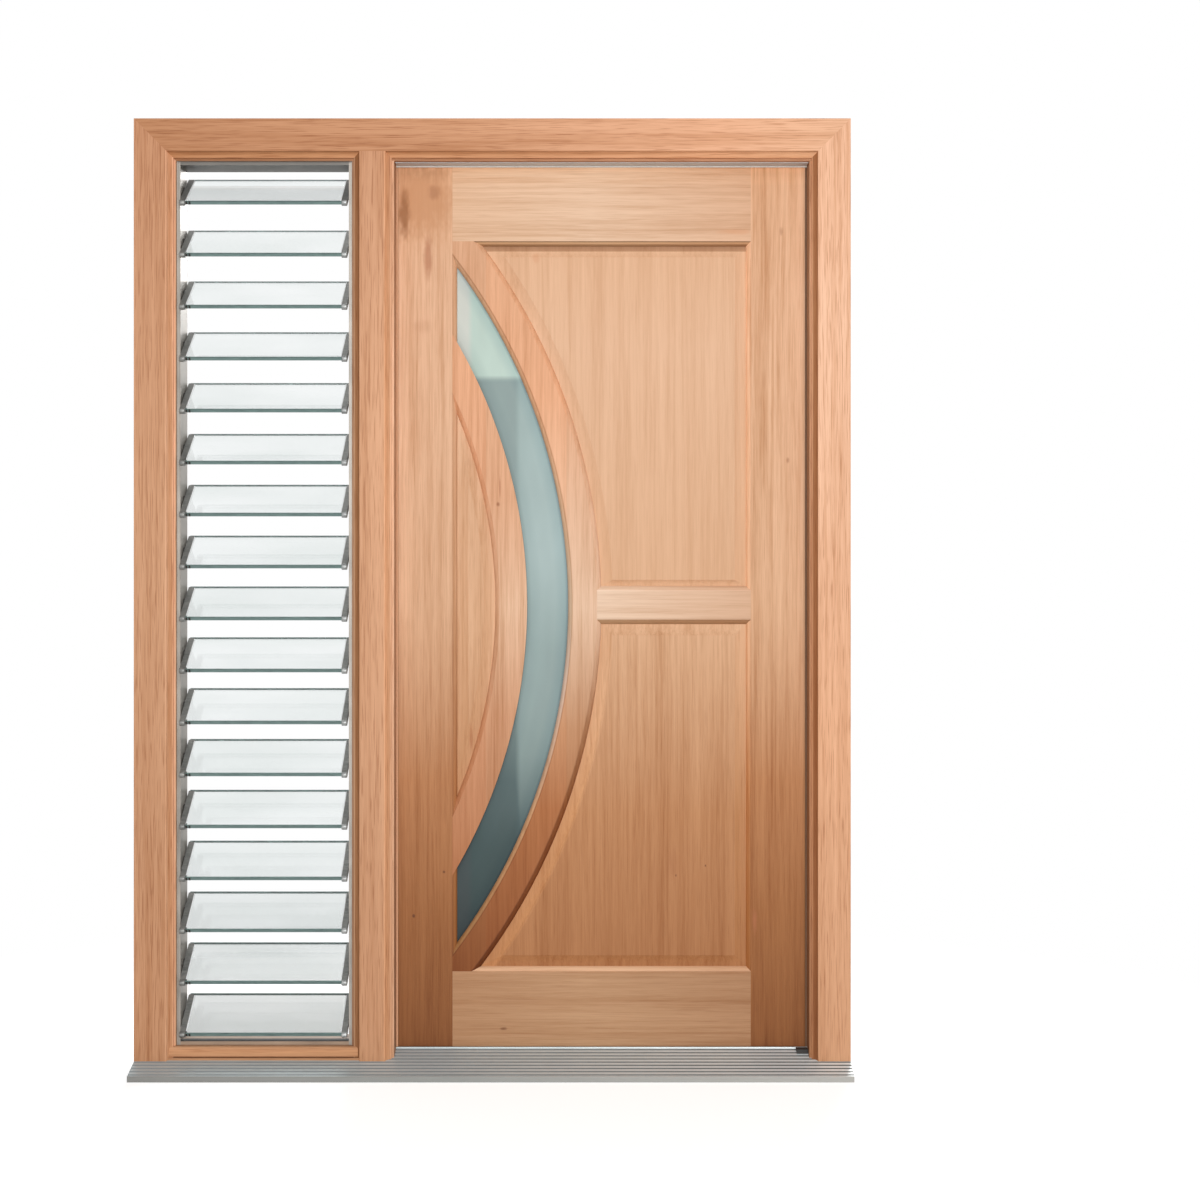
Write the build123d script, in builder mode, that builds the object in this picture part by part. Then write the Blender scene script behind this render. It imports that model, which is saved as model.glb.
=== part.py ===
from build123d import *
import os
from math import atan2, cos, degrees, radians, sin

# External timber door set: a panelled leaf with a crescent light, beside a louvred sidelight.
# Millimetres, +Z up, +Y towards the inside. The origin lies on the sill's underside,
# below the middle of the frame's outer face.
os.makedirs("parts", exist_ok=True)

# Leaf
leaf_width = 938
leaf_height = 1981
leaf_thickness = 44
leaf_foot = 46            # underside of the leaf above the base of the sill
leaf_gap = 5.5            # running gap between the leaf's edges and the frame
lock_bevel = 2.5          # leading edge of the lock stile, eased for the swing
stile_width = 135
top_rail_width = 176
mid_rail_width = 66
bottom_rail_width = 170

# Arches of the crescent, struck from one centre at the leaf's mid height
arch_radius = 1340        # outer edge of the outer arch rail's face
arch_reach = 459          # lock edge of the leaf to the crown of that edge
outer_arch_width = 56
glass_bead_width = 9
glass_band = 92           # sight width of the crescent glass at its crown
inner_arch_width = 61.5
glass_rebate = 12
glass_edge_gap = 1
glass_clearance = 0.3
arch_sweep = 100          # degrees of arch, trimmed by the stile and the rails

# Sticking run on stiles, rails and arches, and the panels held in its groove
sticking_width = 10
sticking_quirk = 2.5
sticking_depth = 11
sticking_bulge = 1.8
groove_beyond = 2         # groove floor behind the edge of the flat face
tongue_setback = 1.5      # tongue edge in front of the edge of the flat face
tongue_clearance = 0.2
field_set_back = 5        # raised field behind the leaf's face
field_shoulder = 0.4
bevel_width = 25
mid_bevel_width = 13      # upper panel along the mid rail
bevel_hollow = 1.3
cutter_overrun = 2

# Frame
frame_face = 72           # jambs and head
mullion_face = 57
frame_depth = 118
sidelight_opening = 425   # between the faces of left jamb and mullion
sidelight_foot = 62       # sight line of the sidelight's bottom rail
stop_width = 18           # moulding between face and sight line
stop_cover = 10           # overlap of the side stops on the leaf
head_cover = 8            # overlap of the head's stop on the leaf
arris_step = 2
cove_width = 13
cove_drop = 8
cove_hollow = 2.1
sight_step = 6
rail_set_back = 4         # sidelight's bottom rail behind the frame's face
rail_band = 22            # rounded band of that rail, down from its sight line
rail_band_step = 3        # band behind the fillet below it
rail_quirk = 3
rail_quirk_depth = 8
rail_round = 5
seal_gap = 5              # seal to leaf
seal_thickness = 3
seal_width = 12
seal_show = 4             # seal past the sight line
seal_round = 1.2
seal_joint = 0.5

# Sill
nose_reach = 67           # nose in front of the frame's face
nose_height = 13
floor_gap = 5             # under the leaf
bar_rise = 3.5            # weather bar above the leaf's underside
bar_step = 2.5            # weather bar above the ribbed slope
bar_thickness = 6
sill_wall = 4.5
web_thickness = 3
rib_count = 9
rib_depth = 2

# Louvre gallery
blade_count = 17
blade_width = 126
blade_thickness = 8
blade_tilt = 33           # degrees above level, lower edge outwards
blade_arris = 0.8
blade_margin = 52         # first and last pivots from the head and sill channels
louvre_stop = 24          # front of the channels behind the frame's face
channel_depth = 76
channel_seat = 9          # channel let in behind the sight line
channel_thickness = 17
channel_wall = 2
clip_width = 12
clip_wall = 2.2
clip_slack = 0.1          # clip to glass
clip_gap = 2              # clip to channel
clip_tail = 57            # clip behind the pivot
pivot_radius = 7

# Butt hinges
hinge_height = 100
hinge_inset = 250         # hinge centres from the leaf's ends
knuckle_count = 5
knuckle_radius = 6
knuckle_clearance = 0.3
pin_radius = 3
pin_clearance = 0.05
plate_thickness = 2.5
plate_width = 30

# Places across the frame
door_opening = leaf_width + 2 * (stop_width - stop_cover)
overall_width = 2 * frame_face + sidelight_opening + mullion_face + door_opening
frame_left = -overall_width / 2
frame_right = overall_width / 2
light_left = frame_left + frame_face
light_right = light_left + sidelight_opening
light_middle = (light_left + light_right) / 2
door_left = light_right + mullion_face
door_right = frame_right - frame_face
leaf_left = door_left + stop_width - stop_cover
leaf_right = leaf_left + leaf_width
rebate_left = leaf_left - leaf_gap
rebate_right = leaf_right + leaf_gap

# Places in depth
leaf_back = frame_depth
leaf_front = leaf_back - leaf_thickness
stop_back = leaf_front - seal_gap - seal_thickness
moulding_depth = arris_step + cove_drop + sight_step
groove_front = leaf_front + sticking_depth
groove_back = leaf_back - sticking_depth

# Places in height
leaf_top = leaf_foot + leaf_height
leaf_middle = leaf_foot + leaf_height / 2
head_sight = leaf_top - head_cover
head_under = head_sight + stop_width
frame_top = head_under + frame_face
sill_floor = leaf_foot - floor_gap
bar_top = leaf_foot + bar_rise
bar_front = stop_back - bar_thickness
slope_top = bar_top - bar_step

# Edges of the leaf's flat faces
lock_edge = leaf_left + stile_width
hinge_edge = leaf_right - stile_width
top_edge = leaf_top - top_rail_width
bottom_edge = leaf_foot + bottom_rail_width
mid_upper_edge = leaf_middle + mid_rail_width / 2
mid_lower_edge = leaf_middle - mid_rail_width / 2

# Arch radii, outwards from the half-moon panel
arch_x = leaf_left + arch_reach - arch_radius
outer_arch_edge = arch_radius - outer_arch_width
glass_outer_sight = outer_arch_edge - glass_bead_width
glass_inner_sight = glass_outer_sight - glass_band
inner_arch_edge = glass_inner_sight - inner_arch_width
outer_rebate = glass_outer_sight + glass_rebate
inner_rebate = glass_inner_sight - glass_rebate
arch_axis = Axis((arch_x, 0, leaf_middle), (0, 1, 0))

mitre_left = Plane(origin=(frame_left, 0, frame_top), x_dir=(0, 1, 0), z_dir=(1, 0, 1))
mitre_right = Plane(origin=(frame_right, 0, frame_top), x_dir=(0, 1, 0), z_dir=(-1, 0, 1))


def along_x(right_end):
    """Section plane of a piece running left from right_end: height across, depth up."""
    return Plane(origin=(right_end, 0, 0), x_dir=(0, 0, 1), z_dir=(-1, 0, 0))


def arch_plane():
    """Section plane at the arches' upper end: radius across, depth up."""
    start = radians(arch_sweep / 2)
    return Plane(
        origin=(arch_x, 0, leaf_middle),
        x_dir=(cos(start), 0, sin(start)),
        z_dir=(-sin(start), 0, cos(start)),
    )


def facade_plane(depth):
    """Plane parallel to the door's face, width across and height up."""
    return Plane.XZ.offset(-depth)


def finish(piece, name):
    piece.part.label = name
    export_step(piece.part, f"parts/{name}.step")


def frame_moulding(edge, side):
    """Stepped cove from the frame's face at edge to the sight line, towards side."""
    crown = edge + side * cove_width
    sight = edge + side * stop_width
    foot = arris_step + cove_drop
    Line((edge, 0), (edge, arris_step))
    SagittaArc((edge, arris_step), (crown, foot), side * cove_hollow)
    Polyline((crown, foot), (crown, moulding_depth), (sight, moulding_depth))


def stuck_edge(edge, side):
    """Moulded and grooved edge of a leaf member, from its front face to its back face."""
    tip = edge + side * sticking_width
    floor = edge - side * groove_beyond
    Line((edge, leaf_front), (edge, leaf_front + sticking_quirk))
    SagittaArc((edge, leaf_front + sticking_quirk), (tip, groove_front), -side * sticking_bulge)
    Polyline((tip, groove_front), (floor, groove_front), (floor, groove_back), (tip, groove_back))
    SagittaArc((tip, groove_back), (edge, leaf_back - sticking_quirk), -side * sticking_bulge)
    Line((edge, leaf_back - sticking_quirk), (edge, leaf_back))


def bevel_section(edge, side, width):
    """Hollow waste taken off both faces of a panel along one edge to raise its field."""
    outside = edge - side * cutter_overrun
    sight = edge + side * sticking_width
    field = sight + side * width
    for face, inward in ((leaf_front, 1), (leaf_back, -1)):
        flat = face + inward * field_set_back
        tongue = groove_front if inward > 0 else groove_back
        tongue += inward * tongue_clearance
        with BuildLine() as waste:
            shoulder = (field, flat + inward * field_shoulder)
            Polyline((sight, tongue), (outside, tongue), (outside, face), (field, face), shoulder)
            SagittaArc(shoulder, (sight, tongue), -side * inward * bevel_hollow)
        make_face(waste.edges())


def sill_outline():
    """Outer section of the sill without its ribs, depth across and height up."""
    with BuildLine() as outline:
        Polyline(
            (-nose_reach, 0),
            (-nose_reach, nose_height),
            (bar_front, slope_top),
            (bar_front, bar_top),
            (stop_back, bar_top),
            (stop_back, sill_floor),
            (frame_depth, sill_floor),
            (frame_depth, 0),
            close=True,
        )
    make_face(outline.edges())


def scribe_to_sill():
    """Cut the foot of a frame member to the sill's top."""
    with BuildSketch(Plane.YZ.offset(frame_left)) as section:
        sill_outline()
    extrude(section.sketch, amount=overall_width, mode=Mode.SUBTRACT)


# Sill: ribbed hollow extrusion with a weather bar in front of the leaf
slope_run = bar_front + nose_reach
slope_rise = slope_top - nose_height
slope_angle = degrees(atan2(slope_rise, slope_run))
rib_steps = [(n + 0.5) / rib_count for n in range(rib_count)]
with BuildPart() as sill:
    with BuildSketch(Plane.YZ.offset(frame_left)):
        sill_outline()
        with Locations([(slope_run * s - nose_reach, nose_height + slope_rise * s) for s in rib_steps]):
            RegularPolygon(rib_depth, 4, rotation=slope_angle, mode=Mode.SUBTRACT)
    extrude(amount=overall_width)
    with BuildSketch(Plane.YZ.offset(frame_left)):
        sill_outline()
        offset(amount=-sill_wall, kind=Kind.INTERSECTION, mode=Mode.REPLACE)
        with Locations((0, bar_top / 2), (bar_front, bar_top / 2)):
            Rectangle(web_thickness, bar_top, mode=Mode.SUBTRACT)
    extrude(amount=overall_width, mode=Mode.SUBTRACT)
finish(sill, "sill")

# Head, rebated behind its stop for the leaf and for the louvre gallery
with BuildPart() as head:
    with BuildSketch(along_x(frame_right)):
        with BuildLine():
            frame_moulding(head_under, -1)
            Polyline(
                (head_sight, moulding_depth),
                (head_sight, frame_depth),
                (frame_top, frame_depth),
                (frame_top, 0),
                (head_under, 0),
            )
        make_face()
    extrude(amount=overall_width)
    split(bisect_by=mitre_left, keep=Keep.TOP)
    split(bisect_by=mitre_right, keep=Keep.TOP)
    with BuildSketch(facade_plane(stop_back)):
        with Locations((rebate_left, head_sight)):
            Rectangle(
                rebate_right - rebate_left,
                head_cover + leaf_gap,
                align=(Align.MIN, Align.MIN),
            )
    extrude(amount=stop_back - frame_depth, mode=Mode.SUBTRACT)
    with BuildSketch(facade_plane(louvre_stop)):
        with Locations((light_middle, head_sight)):
            Rectangle(
                sidelight_opening - 2 * (stop_width - channel_seat),
                channel_seat,
                align=(Align.CENTER, Align.MIN),
            )
    extrude(amount=louvre_stop - frame_depth, mode=Mode.SUBTRACT)
finish(head, "head")

# Left jamb, mitred to the head
with BuildPart() as left_jamb:
    with BuildSketch(Plane.XY):
        sight = light_left + stop_width
        with BuildLine():
            frame_moulding(light_left, 1)
            Polyline(
                (sight, moulding_depth),
                (sight, louvre_stop),
                (sight - channel_seat, louvre_stop),
                (sight - channel_seat, frame_depth),
                (frame_left, frame_depth),
                (frame_left, 0),
                (light_left, 0),
            )
        make_face()
    extrude(amount=frame_top)
    split(bisect_by=mitre_left, keep=Keep.BOTTOM)
    scribe_to_sill()
finish(left_jamb, "left_jamb")

# Right jamb, rebated for the leaf
with BuildPart() as right_jamb:
    with BuildSketch(Plane.XY):
        sight = door_right - stop_width
        with BuildLine():
            frame_moulding(door_right, -1)
            Polyline(
                (sight, moulding_depth),
                (sight, stop_back),
                (rebate_right, stop_back),
                (rebate_right, frame_depth),
                (frame_right, frame_depth),
                (frame_right, 0),
                (door_right, 0),
            )
        make_face()
    extrude(amount=frame_top)
    split(bisect_by=mitre_right, keep=Keep.BOTTOM)
    scribe_to_sill()
finish(right_jamb, "right_jamb")

# Mullion, butted under the head's face and coped over its moulding
with BuildPart() as mullion:
    with BuildSketch(Plane.XY):
        light_sight = light_right - stop_width
        door_sight = door_left + stop_width
        with BuildLine():
            frame_moulding(light_right, -1)
            Polyline(
                (light_sight, moulding_depth),
                (light_sight, louvre_stop),
                (light_sight + channel_seat, louvre_stop),
                (light_sight + channel_seat, frame_depth),
                (rebate_left, frame_depth),
                (rebate_left, stop_back),
                (door_sight, stop_back),
                (door_sight, moulding_depth),
            )
            frame_moulding(door_left, 1)
            Line((door_left, 0), (light_right, 0))
        make_face()
    extrude(amount=head_under)
    add(head.part, mode=Mode.SUBTRACT)
    scribe_to_sill()
finish(mullion, "mullion")

# Bottom rail of the sidelight, coped between jamb and mullion
with BuildPart() as sidelight_sill:
    with BuildSketch(along_x(light_right)):
        band_foot = sidelight_foot - rail_band
        band_face = rail_set_back + rail_band_step
        quirk_floor = rail_set_back + rail_quirk_depth
        round_foot = sidelight_foot - rail_round
        with BuildLine():
            Polyline(
                (0, rail_set_back),
                (band_foot - rail_quirk, rail_set_back),
                (band_foot - rail_quirk, quirk_floor),
                (band_foot, quirk_floor),
                (band_foot, band_face),
                (round_foot, band_face),
            )
            RadiusArc((round_foot, band_face), (sidelight_foot, band_face + rail_round), -rail_round)
            Polyline(
                (sidelight_foot, band_face + rail_round),
                (sidelight_foot, louvre_stop),
                (sidelight_foot - channel_seat, louvre_stop),
                (sidelight_foot - channel_seat, frame_depth),
                (0, frame_depth),
                (0, rail_set_back),
            )
        make_face()
    extrude(amount=sidelight_opening)
    add(left_jamb.part, mode=Mode.SUBTRACT)
    add(mullion.part, mode=Mode.SUBTRACT)
    scribe_to_sill()
finish(sidelight_sill, "sidelight_sill")

# Weather seal: strips behind the stops at the head and both sides
with BuildPart() as weather_seal:
    strip_shift = seal_show - seal_width / 2
    strip_depth = stop_back + seal_thickness / 2
    head_strip_foot = head_sight - seal_show
    left_strip = door_left + stop_width + strip_shift
    right_strip = door_right - stop_width - strip_shift
    with BuildSketch(Plane.XY.offset(bar_top)):
        with Locations((left_strip, strip_depth), (right_strip, strip_depth)):
            RectangleRounded(seal_width, seal_thickness, seal_round)
    extrude(amount=head_strip_foot - seal_joint - bar_top)
    with BuildSketch(along_x(right_strip + seal_width / 2)):
        with Locations((head_sight - strip_shift, strip_depth)):
            RectangleRounded(seal_width, seal_thickness, seal_round)
    extrude(amount=right_strip - left_strip + seal_width)
finish(weather_seal, "weather_seal")

# Louvre gallery: channels lining the sidelight, open towards the timber
gallery_left = light_left + stop_width - channel_seat
gallery_foot = sidelight_foot - channel_seat
gallery_head = head_sight + channel_seat
clear_left = gallery_left + channel_thickness
clear_right = 2 * light_middle - clear_left
clear_foot = gallery_foot + channel_thickness
clear_head = gallery_head - channel_thickness


def channel_section(seat, side):
    """Channel standing on seat, its web on the side of the opening."""
    web = seat + side * channel_thickness
    inner = web - side * channel_wall
    back = louvre_stop + channel_depth
    with BuildLine() as outline:
        Polyline(
            (seat, louvre_stop),
            (web, louvre_stop),
            (web, back),
            (seat, back),
            (seat, back - channel_wall),
            (inner, back - channel_wall),
            (inner, louvre_stop + channel_wall),
            (seat, louvre_stop + channel_wall),
            close=True,
        )
    make_face(outline.edges())


with BuildPart() as channel_left:
    with BuildSketch(Plane.XY.offset(gallery_foot)):
        channel_section(gallery_left, 1)
    extrude(amount=gallery_head - gallery_foot)
finish(channel_left, "louvre_channel_left")

with BuildPart() as channel_right:
    mirror(channel_left.part, about=Plane.YZ.offset(light_middle))
finish(channel_right, "louvre_channel_right")

with BuildPart() as channel_head:
    with BuildSketch(along_x(clear_right)):
        channel_section(gallery_head, -1)
    extrude(amount=clear_right - clear_left)
finish(channel_head, "louvre_channel_head")

with BuildPart() as channel_foot:
    with BuildSketch(along_x(clear_right)):
        channel_section(gallery_foot, 1)
    extrude(amount=clear_right - clear_left)
finish(channel_foot, "louvre_channel_foot")

# Louvre blades and the clips that carry them on pivots
pivot_depth = louvre_stop + channel_depth / 2
first_pivot = clear_head - blade_margin
last_pivot = clear_foot + blade_margin
blade_pitch = (first_pivot - last_pivot) / (blade_count - 1)
pivot_heights = [first_pivot - n * blade_pitch for n in range(blade_count)]
clip_back = clear_left + clip_gap
blade_end = clip_back + clip_wall + clip_slack
blade_length = 2 * (light_middle - blade_end)
slot_height = blade_thickness + 2 * clip_slack
clip_nose = blade_width / 2 + clip_slack


def blade_plane(x, height, shift=0):
    """Plane square to a blade's width at its pivot, or shifted towards its lower edge."""
    tilt = radians(blade_tilt)
    down = Vector(0, -cos(tilt), -sin(tilt))
    return Plane(origin=Vector(x, pivot_depth, height) + down * shift, x_dir=(1, 0, 0), z_dir=down)


with BuildPart() as clips_left:
    for height in pivot_heights:
        with BuildSketch(blade_plane(clip_back, height, -clip_tail)):
            Rectangle(clip_width, slot_height + 2 * clip_wall, align=(Align.MIN, Align.CENTER))
        extrude(amount=clip_tail + clip_nose + clip_wall)
        with BuildSketch(blade_plane(clip_back + clip_wall, height, -clip_tail)):
            Rectangle(clip_width, slot_height, align=(Align.MIN, Align.CENTER))
        extrude(amount=clip_tail + clip_nose, mode=Mode.SUBTRACT)
        with BuildSketch(Plane.YZ.offset(clear_left)):
            with Locations((pivot_depth, height)):
                Circle(pivot_radius)
        extrude(amount=clip_gap)
finish(clips_left, "louvre_clips_left")

with BuildPart() as clips_right:
    mirror(clips_left.part, about=Plane.YZ.offset(light_middle))
finish(clips_right, "louvre_clips_right")

for number, height in enumerate(pivot_heights, start=1):
    with BuildPart() as blade:
        with BuildSketch(blade_plane(light_middle, height)):
            Rectangle(blade_length, blade_thickness)
        extrude(amount=blade_width / 2, both=True)
        chamfer(blade.edges().filter_by(Axis.X), blade_arris)
    finish(blade, f"louvre_blade_{number:02d}")

# Lock stile, its outer edge bevelled for the swing
with BuildPart() as lock_stile:
    with BuildSketch(Plane.XY.offset(leaf_foot)):
        with BuildLine():
            stuck_edge(lock_edge, 1)
            Polyline(
                (lock_edge, leaf_back),
                (leaf_left, leaf_back),
                (leaf_left + lock_bevel, leaf_front),
                (lock_edge, leaf_front),
            )
        make_face()
    extrude(amount=leaf_height)
finish(lock_stile, "lock_stile")

with BuildPart() as hinge_stile:
    with BuildSketch(Plane.XY.offset(leaf_foot)):
        with BuildLine():
            stuck_edge(hinge_edge, -1)
            Polyline(
                (hinge_edge, leaf_back),
                (leaf_right, leaf_back),
                (leaf_right, leaf_front),
                (hinge_edge, leaf_front),
            )
        make_face()
    extrude(amount=leaf_height)
finish(hinge_stile, "hinge_stile")

# Top and bottom rails, coped over the stiles' mouldings and tongued into their grooves
rail_left = lock_edge - groove_beyond
rail_right = hinge_edge + groove_beyond


def end_rail(edge, side, outer_edge):
    """Rail between the stiles with its moulding on one side."""
    with BuildSketch(along_x(rail_right)) as section:
        with BuildLine():
            stuck_edge(edge, side)
            Polyline((edge, leaf_back), (outer_edge, leaf_back), (outer_edge, leaf_front), (edge, leaf_front))
        make_face()
    extrude(section.sketch, amount=rail_right - rail_left)
    add(lock_stile.part, mode=Mode.SUBTRACT)
    add(hinge_stile.part, mode=Mode.SUBTRACT)


with BuildPart() as top_rail:
    end_rail(top_edge, -1, leaf_top)
finish(top_rail, "top_rail")

with BuildPart() as bottom_rail:
    end_rail(bottom_edge, 1, leaf_foot)
finish(bottom_rail, "bottom_rail")


def fit_arch():
    """Trim an arch to the leaf's opening and cope its ends to the stile and the rails."""
    with BuildSketch(facade_plane(leaf_front)) as opening:
        with Locations((rail_left, bottom_edge - groove_beyond)):
            Rectangle(
                rail_right - rail_left,
                top_edge - bottom_edge + 2 * groove_beyond,
                align=(Align.MIN, Align.MIN),
            )
    extrude(opening.sketch, amount=-leaf_thickness, mode=Mode.INTERSECT)
    for member in (lock_stile, top_rail, bottom_rail):
        add(member.part, mode=Mode.SUBTRACT)


# Outer arch rail: panel groove outside, moulded glass rebate inside
with BuildPart() as outer_arch_rail:
    with BuildSketch(arch_plane()):
        with BuildLine():
            stuck_edge(arch_radius, 1)
            Polyline(
                (arch_radius, leaf_back),
                (outer_rebate, leaf_back),
                (outer_rebate, groove_front),
                (glass_outer_sight, groove_front),
            )
            SagittaArc(
                (glass_outer_sight, groove_front),
                (outer_arch_edge, leaf_front + sticking_quirk),
                -sticking_bulge,
            )
            Polyline(
                (outer_arch_edge, leaf_front + sticking_quirk),
                (outer_arch_edge, leaf_front),
                (arch_radius, leaf_front),
            )
        make_face()
    revolve(axis=arch_axis, revolution_arc=arch_sweep)
    fit_arch()
finish(outer_arch_rail, "outer_arch_rail")

# Inner arch rail: square edge to the glass, panel groove on its hollow side
with BuildPart() as inner_arch_rail:
    with BuildSketch(arch_plane()):
        with BuildLine():
            stuck_edge(inner_arch_edge, -1)
            Polyline(
                (inner_arch_edge, leaf_back),
                (inner_rebate, leaf_back),
                (inner_rebate, groove_front),
                (glass_inner_sight, groove_front),
                (glass_inner_sight, leaf_front),
                (inner_arch_edge, leaf_front),
            )
        make_face()
    revolve(axis=arch_axis, revolution_arc=arch_sweep)
    fit_arch()
finish(inner_arch_rail, "inner_arch_rail")

# Mid rail from the crown of the outer arch to the hinge stile
with BuildPart() as mid_rail:
    with BuildSketch(along_x(rail_right)):
        with BuildLine():
            stuck_edge(mid_upper_edge, 1)
            Line((mid_upper_edge, leaf_back), (mid_lower_edge, leaf_back))
            stuck_edge(mid_lower_edge, -1)
            Line((mid_lower_edge, leaf_front), (mid_upper_edge, leaf_front))
        make_face()
    extrude(amount=rail_right - lock_edge)
    with BuildSketch(facade_plane(leaf_front)):
        with Locations((arch_x, leaf_middle)):
            Circle(arch_radius - groove_beyond)
    extrude(amount=-leaf_thickness, mode=Mode.SUBTRACT)
    add(outer_arch_rail.part, mode=Mode.SUBTRACT)
    add(hinge_stile.part, mode=Mode.SUBTRACT)
finish(mid_rail, "mid_rail")

# Raised and fielded panels, their tongues loose in the grooves
field_thickness = leaf_thickness - 2 * field_set_back
panel_front = facade_plane(leaf_front + field_set_back)


def raise_upright(edge, side):
    """Bevel a panel along an upright edge."""
    with BuildSketch(Plane.XY.offset(leaf_foot)) as waste:
        bevel_section(edge, side, bevel_width)
    extrude(waste.sketch, amount=leaf_height, mode=Mode.SUBTRACT)


def raise_level(edge, side, width):
    """Bevel a panel along a level edge."""
    with BuildSketch(along_x(leaf_right)) as waste:
        bevel_section(edge, side, width)
    extrude(waste.sketch, amount=leaf_width, mode=Mode.SUBTRACT)


def raise_arch(radius, side):
    """Bevel a panel along an arch."""
    with BuildSketch(arch_plane()) as waste:
        bevel_section(radius, side, bevel_width)
    revolve(waste.sketch, axis=arch_axis, revolution_arc=arch_sweep, mode=Mode.SUBTRACT)


def keep_in_opening():
    """Trim a sketch to the grooves of the lock stile and the end rails."""
    with Locations((lock_edge + tongue_setback, bottom_edge + tongue_setback)):
        Rectangle(
            leaf_width,
            top_edge - bottom_edge - 2 * tongue_setback,
            align=(Align.MIN, Align.MIN),
            mode=Mode.INTERSECT,
        )


def side_panel(foot_edge, head_edge, foot_bevel):
    """Panel between the outer arch, the hinge stile and two rails."""
    with BuildSketch(panel_front) as blank:
        with Locations((hinge_edge - tongue_setback, foot_edge + tongue_setback)):
            Rectangle(
                hinge_edge - lock_edge,
                head_edge - foot_edge - 2 * tongue_setback,
                align=(Align.MAX, Align.MIN),
            )
        with Locations((arch_x, leaf_middle)):
            Circle(arch_radius + tongue_setback, mode=Mode.SUBTRACT)
    extrude(blank.sketch, amount=-field_thickness)
    raise_upright(hinge_edge, -1)
    raise_level(foot_edge, 1, foot_bevel)
    raise_level(head_edge, -1, bevel_width)
    raise_arch(arch_radius, 1)


with BuildPart() as upper_panel:
    side_panel(mid_upper_edge, top_edge, mid_bevel_width)
finish(upper_panel, "upper_panel")

with BuildPart() as lower_panel:
    side_panel(bottom_edge, mid_lower_edge, bevel_width)
finish(lower_panel, "lower_panel")

with BuildPart() as arch_panel:
    with BuildSketch(panel_front):
        with Locations((arch_x, leaf_middle)):
            Circle(inner_arch_edge - tongue_setback)
        keep_in_opening()
    extrude(amount=-field_thickness)
    raise_upright(lock_edge, 1)
    raise_arch(inner_arch_edge, -1)
finish(arch_panel, "arch_panel")

# Crescent glass between the arches, its straight ends in the stile's groove
with BuildPart() as crescent_glass:
    with BuildSketch(facade_plane(groove_front + glass_clearance)):
        with Locations((arch_x, leaf_middle)):
            Circle(outer_rebate - glass_edge_gap)
            Circle(inner_rebate + glass_edge_gap, mode=Mode.SUBTRACT)
        keep_in_opening()
    extrude(amount=groove_front - groove_back + 2 * glass_clearance)
finish(crescent_glass, "crescent_glass")


def bead_section(rebate, sight):
    """Chamfered bead that closes a glass rebate on the inside."""
    side = 1 if sight > rebate else -1
    wall = rebate + side * glass_clearance
    with BuildLine() as outline:
        Polyline(
            (wall, groove_back),
            (sight, groove_back),
            (sight, leaf_back - sticking_depth / 2),
            (sight - side * sticking_depth / 2, leaf_back),
            (wall, leaf_back),
            close=True,
        )
    make_face(outline.edges())


with BuildPart() as glazing_beads:
    with BuildSketch(arch_plane()):
        bead_section(outer_rebate, glass_outer_sight)
        bead_section(inner_rebate, glass_inner_sight)
    revolve(axis=arch_axis, revolution_arc=arch_sweep)
    fit_arch()
finish(glazing_beads, "glazing_beads")

# Butt hinges on the inside, each with its pin fast in the frame's half
pivot_x = leaf_right + leaf_gap / 2
pivot_y = frame_depth + knuckle_radius + knuckle_clearance
plate_reach = frame_depth - plate_width
plate_end = pivot_y - knuckle_radius - knuckle_clearance
hinge_heights = [leaf_foot + hinge_inset, leaf_middle, leaf_top - hinge_inset]
knuckle_pitch = hinge_height / knuckle_count


def hinge_half(height, seat, side, knuckles, bored):
    """Plate on seat with its share of the knuckles round the pin."""
    foot = height - hinge_height / 2
    outer = seat + side * plate_thickness
    low_x = min(seat, outer)
    with BuildSketch(Plane.XY.offset(foot)) as plate:
        with Locations((low_x, plate_reach)):
            Rectangle(plate_thickness, plate_end - plate_reach, align=(Align.MIN, Align.MIN))
    extrude(plate.sketch, amount=hinge_height)
    for knuckle in knuckles:
        knuckle_foot = foot + knuckle * knuckle_pitch + knuckle_clearance / 2
        with BuildSketch(Plane.XY.offset(knuckle_foot)) as barrel:
            with Locations((low_x, plate_reach)):
                Rectangle(plate_thickness, pivot_y - plate_reach, align=(Align.MIN, Align.MIN))
            with Locations((pivot_x, pivot_y)):
                Circle(knuckle_radius)
                if bored:
                    Circle(pin_radius + pin_clearance, mode=Mode.SUBTRACT)
        extrude(barrel.sketch, amount=knuckle_pitch - knuckle_clearance)
    if not bored:
        with BuildSketch(Plane.XY.offset(foot)) as pin:
            with Locations((pivot_x, pivot_y)):
                Circle(pin_radius)
        extrude(pin.sketch, amount=hinge_height)


with BuildPart() as hinge_frame_plates:
    for height in hinge_heights:
        hinge_half(height, rebate_right, -1, range(0, knuckle_count, 2), False)
finish(hinge_frame_plates, "hinge_frame_plates")

with BuildPart() as hinge_leaf_plates:
    for height in hinge_heights:
        hinge_half(height, leaf_right, 1, range(1, knuckle_count, 2), True)
finish(hinge_leaf_plates, "hinge_leaf_plates")
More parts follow.
